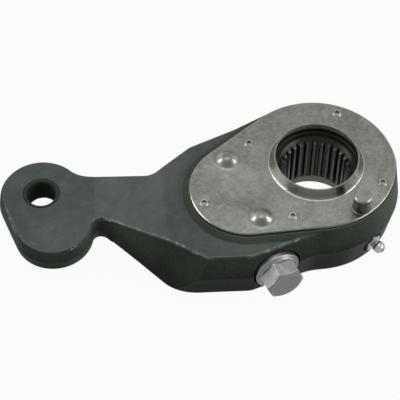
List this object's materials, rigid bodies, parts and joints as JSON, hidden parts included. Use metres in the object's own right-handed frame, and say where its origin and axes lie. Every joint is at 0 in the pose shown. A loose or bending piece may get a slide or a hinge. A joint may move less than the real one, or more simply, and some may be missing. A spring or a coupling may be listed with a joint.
{
  "type": "brake slack adjuster",
  "caption": "Forged brake lever with a splined hub at its head, turned by a worm and hex under riveted covers, and a bushed clevis hole at the end of its cranked arm.",
  "frame": {"origin": "on the spline's axis, at the middle of the head's thickness", "axes": "+Z along the camshaft's axis towards the cover with the two domes and the stud; the clevis pin is on -X; the adjusting hex points to -Y and a little to +X"},
  "size_m": [0.2199, 0.1147, 0.056],
  "materials": {
    "forged_steel": "satin dark grey-green phosphate paint over a shot-blasted forging",
    "zinc_sheet": "dull zinc on pressed sheet",
    "gasket": "matt",
    "zinc_fixings": "dull zinc",
    "zinc_shaft": "satin zinc with turning marks",
    "bright_zinc": "bright zinc",
    "wheel_steel": "machined steel, oiled",
    "oiled_steel": "machined, oiled",
    "bearing_steel": "polished",
    "spring_steel": "drawn wire",
    "bronze": "machined",
    "seal_rubber": "matt"
  },
  "bodies": {
    "housing": {"housing": "forged_steel", "clevis_bush": "oiled_steel", "upper_cover": "zinc_sheet", "lower_cover": "zinc_sheet", "upper_gasket": "gasket", "lower_gasket": "gasket", "cover_rivets": "zinc_fixings", "guide_stud": "zinc_fixings", "upper_seal_ring": "seal_rubber", "lower_seal_ring": "seal_rubber", "end_bush": "bronze", "end_plug": "zinc_fixings", "near_detent_spring": "spring_steel", "far_detent_spring": "spring_steel", "grease_nipple": "bright_zinc", "nipple_spring": "spring_steel"},
    "worm_shaft": {"worm_shaft": "zinc_shaft", "worm": "oiled_steel", "worm_key": "oiled_steel", "shaft_circlip": "oiled_steel", "shaft_o_ring": "seal_rubber"},
    "worm_wheel": {"worm_wheel": "wheel_steel"},
    "near_detent_ball": {"near_detent_ball": "bearing_steel"},
    "far_detent_ball": {"far_detent_ball": "bearing_steel"},
    "nipple_ball": {"nipple_ball": "bearing_steel"}
  },
  "joints": [
    {"name": "worm_shaft_spin", "type": "hinge", "parent": "housing", "child": "worm_shaft", "pos_m": [-0.04089, -0.01456, 0], "axis": [0.3355, -0.9421, 0], "continuous": true},
    {"name": "worm_wheel_spin", "type": "hinge", "parent": "housing", "child": "worm_wheel", "pos_m": [0, 0, 0], "axis": [0, 0, 1], "continuous": true},
    {"name": "near_detent_lift", "type": "slide", "parent": "housing", "child": "near_detent_ball", "axis": [0, 0, 1], "range_m": [0, 0.0005], "stiffness_N_per_m": 4000, "springref_m": -0.001, "deforming": ["near_detent_spring"]},
    {"name": "far_detent_lift", "type": "slide", "parent": "housing", "child": "far_detent_ball", "axis": [0, 0, 1], "range_m": [0, 0.0005], "stiffness_N_per_m": 4000, "springref_m": -0.001, "deforming": ["far_detent_spring"]},
    {"name": "nipple_ball_press", "type": "slide", "parent": "housing", "child": "nipple_ball", "axis": [-0.6211, 0.7837, 0], "range_m": [0, 0.0008], "stiffness_N_per_m": 300, "springref_m": -0.0005, "deforming": ["nipple_spring"]}
  ],
  "couplings": [
    {"joint": "worm_wheel_spin", "follows": "worm_shaft_spin", "ratio": -0.041667}
  ]
}
